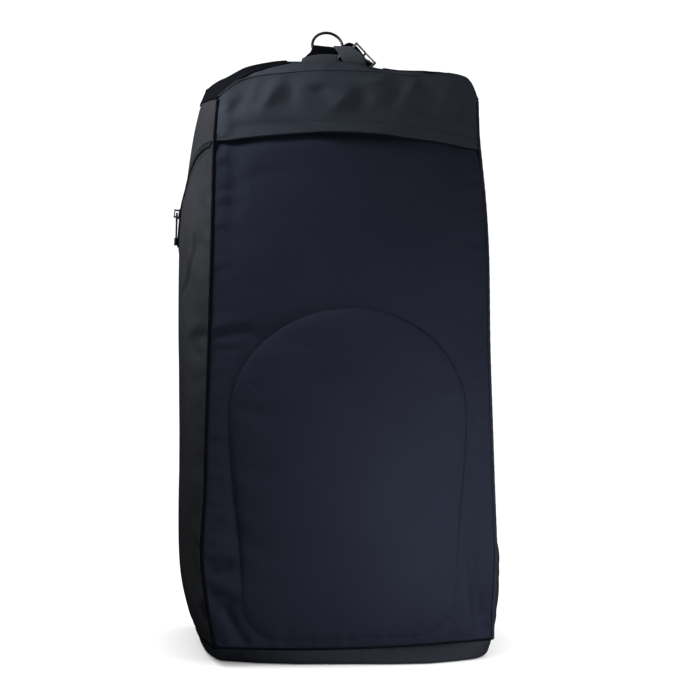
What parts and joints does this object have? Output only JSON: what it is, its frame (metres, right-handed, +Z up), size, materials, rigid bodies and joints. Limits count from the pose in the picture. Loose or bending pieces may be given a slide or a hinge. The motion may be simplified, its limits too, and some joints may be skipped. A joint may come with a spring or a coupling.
{
  "type": "gym bag",
  "caption": "Soft box-shaped gym bag standing on end, with a padded arched back, a flap over it, corded seams, a zipped side pocket and a metal ring on a webbing loop.",
  "frame": {"origin": "on the floor, in the middle of the bag's bounds", "axes": "+Z up, the padded back faces -Y, +X to the right as seen from there"},
  "size_m": [0.334, 0.3336, 0.6609],
  "materials": {
    "navy_cloth": "near-black navy woven polyester, slightly coated",
    "side_cloth": "near-black woven polyester",
    "seam_cord": "cloth-covered cord, matte black",
    "zip": "black zip tape with a coil chain",
    "black_webbing": "coarse black webbing",
    "grey_webbing": "dark grey nylon webbing with a slight sheen",
    "dark_metal": "gunmetal finish, smooth",
    "bright_metal": "bright nickel, slightly worn"
  },
  "bodies": {
    "bag": {"back_panel": "navy_cloth", "back_pad": "navy_cloth", "strap_flap": "navy_cloth", "front_panel": "navy_cloth", "top_panel": "navy_cloth", "ring_tab": "navy_cloth", "left_panel": "side_cloth", "right_panel": "side_cloth", "base_panel": "side_cloth", "piping_near_left": "seam_cord", "piping_near_right": "seam_cord", "piping_far_left": "seam_cord", "piping_far_right": "seam_cord", "piping_near_base": "seam_cord", "piping_far_base": "seam_cord", "piping_left_base": "seam_cord", "piping_right_base": "seam_cord", "piping_near_top": "seam_cord", "binding_far_top": "seam_cord", "binding_left_top": "seam_cord", "binding_right_top": "seam_cord", "pocket_zip": "zip", "main_zip": "zip", "end_webbing_left": "black_webbing", "end_webbing_right": "black_webbing", "ring_loop": "black_webbing", "keeper_strap": "grey_webbing", "keeper_tail": "grey_webbing", "pocket_zip_slider": "dark_metal", "slide_buckle": "bright_metal"},
    "ring": {"d_ring": "dark_metal"},
    "pull": {"pocket_zip_pull": "dark_metal"}
  },
  "joints": [
    {"name": "ring_swing", "type": "hinge", "parent": "bag", "child": "ring", "pos_m": [-0.00039, 0.00328, 0.641], "axis": [1, 0, 0], "range_deg": [-60, 100]},
    {"name": "pull_flip", "type": "hinge", "parent": "bag", "child": "pull", "pos_m": [-0.16339, 0.00328, 0.45956], "axis": [0, 1, 0], "range_deg": [0, 150]}
  ]
}
